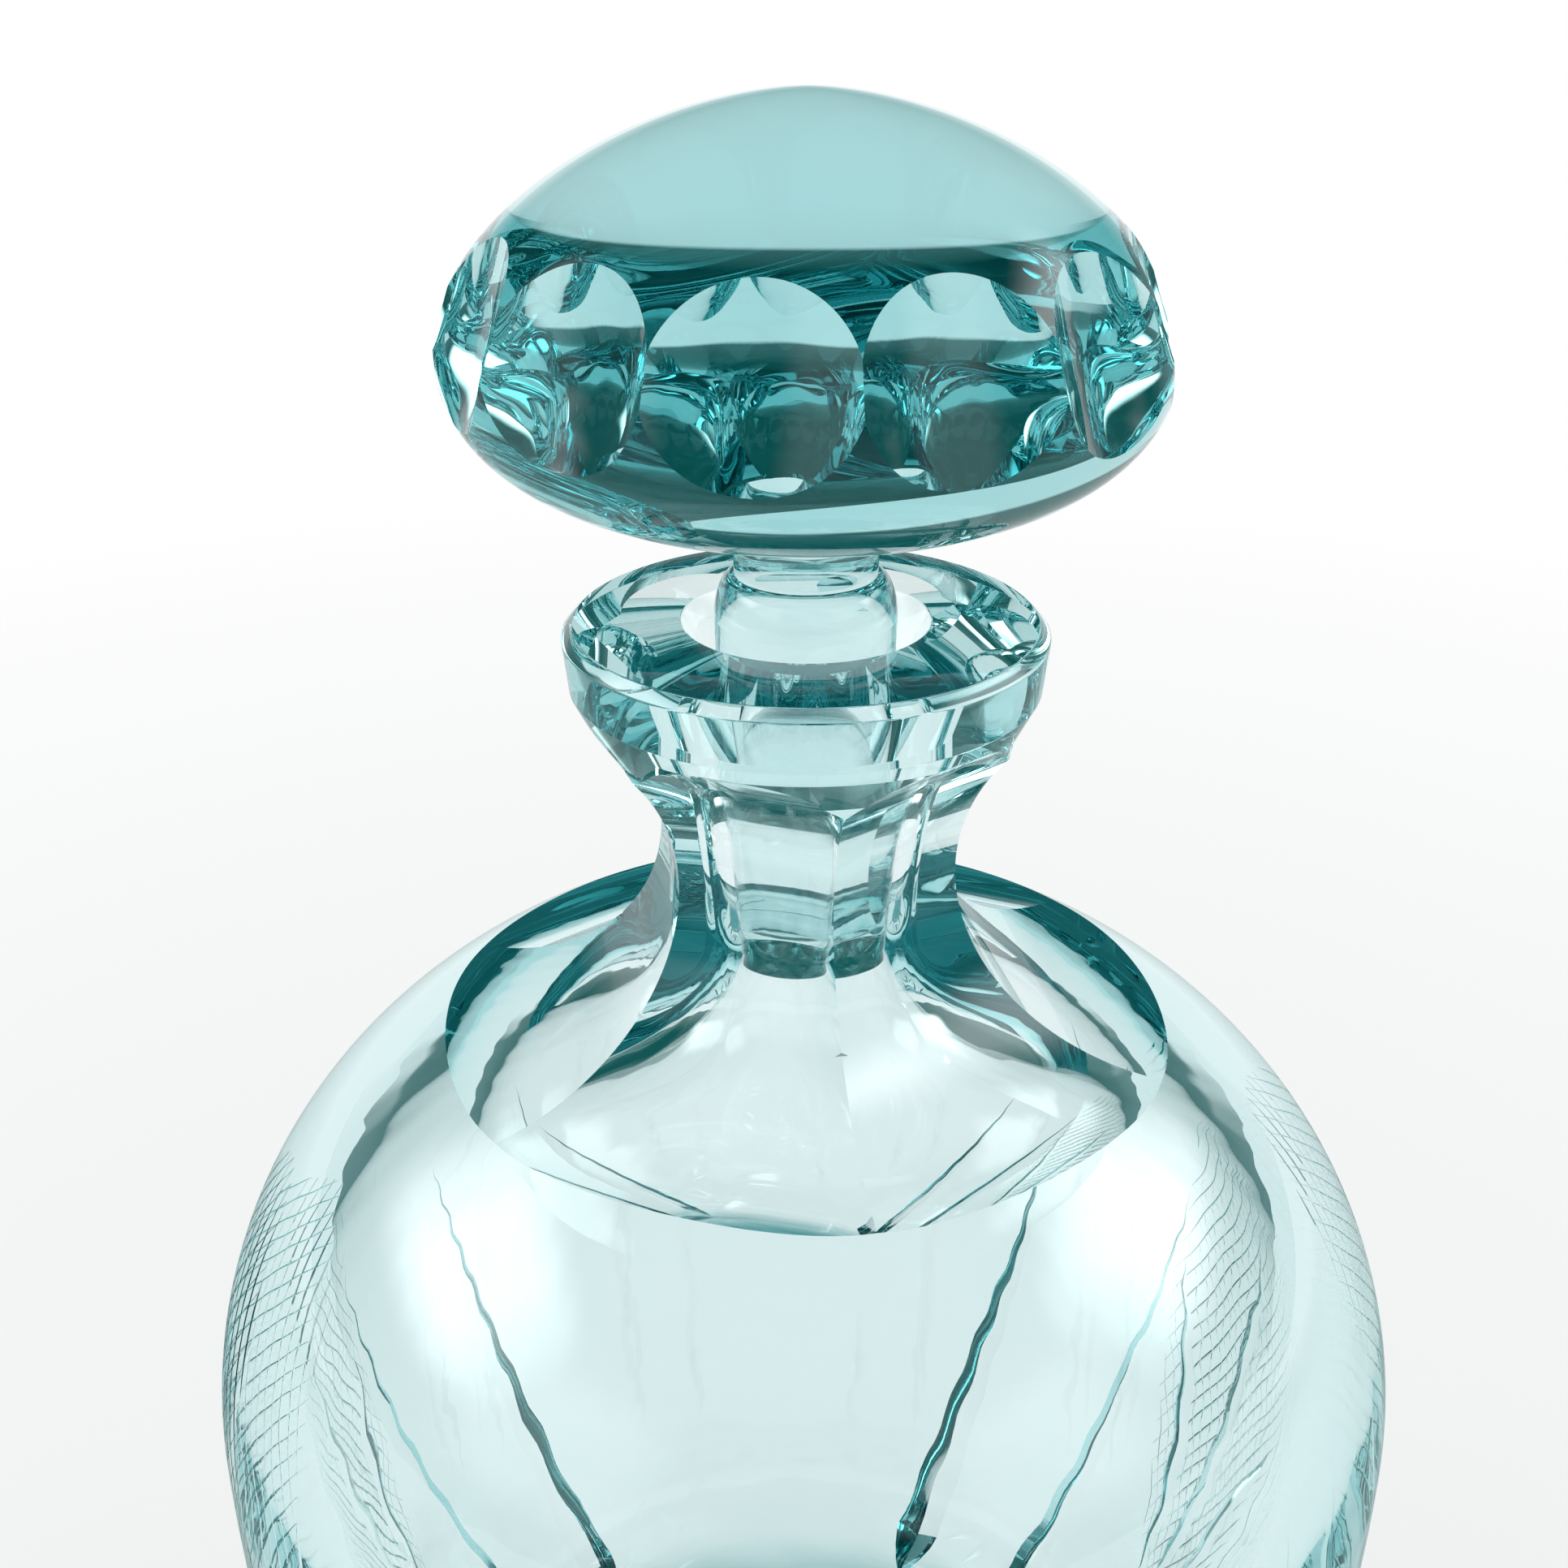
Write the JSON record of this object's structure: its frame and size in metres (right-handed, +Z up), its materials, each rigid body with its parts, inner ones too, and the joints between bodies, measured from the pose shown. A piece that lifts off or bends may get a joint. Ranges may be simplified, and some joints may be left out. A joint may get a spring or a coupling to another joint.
{
  "type": "decanter",
  "caption": "Heavy cut-glass decanter in pale aqua crystal, with blades and leaves cut in the wall, a fluted neck, a wide lip and a mushroom stopper with thumbprint cuts that lifts out of the neck.",
  "frame": {"origin": "centre of the base, on the surface the decanter stands on", "axes": "+Z is up along the axis of the body, neck and stopper; -Y is the middle of a neck flute"},
  "size_m": [0.118, 0.118, 0.2137],
  "materials": {
    "body_glass": "polished, cut",
    "stopper_glass": "polished, cut"
  },
  "bodies": {
    "decanter": {"decanter_body": "body_glass"},
    "stopper": {"stopper": "stopper_glass"}
  },
  "joints": [
    {"name": "stopper_lift", "type": "slide", "parent": "decanter", "child": "stopper", "axis": [0, 0, 1], "range_m": [0, 0.06]}
  ]
}
